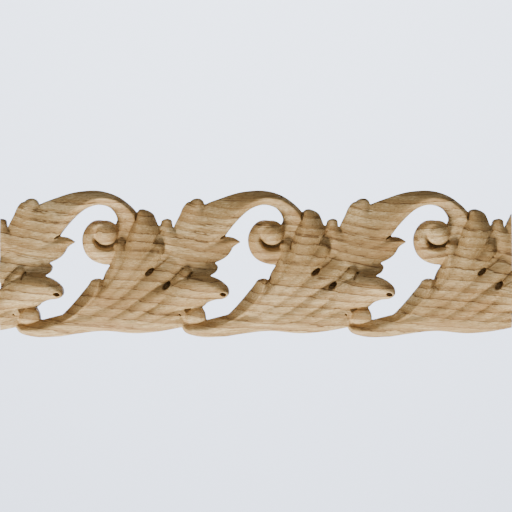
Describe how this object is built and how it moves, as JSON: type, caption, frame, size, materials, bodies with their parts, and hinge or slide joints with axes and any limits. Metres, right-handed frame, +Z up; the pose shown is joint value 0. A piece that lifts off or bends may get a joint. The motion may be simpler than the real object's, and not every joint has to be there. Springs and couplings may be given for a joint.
{
  "type": "carved acanthus leaf moulding",
  "caption": "Carved oak moulding: a running scroll of acanthus leaves, pierced between scrolls, flat at the back, cut square at both ends.",
  "frame": {"origin": "the fixing point on the flat back, at mid-length, on the solid band of leaves below the pierced openings", "axes": "+X along the moulding to the right as seen from the front, +Y out of the flat back towards what it is fixed to, +Z up, the carved face looks along -Y"},
  "size_m": [0.256, 0.0156, 0.0735],
  "materials": {
    "oak": "bare, finely sanded oak with open pores"
  },
  "bodies": {
    "root": {"acanthus_moulding": "oak"}
  },
  "joints": []
}
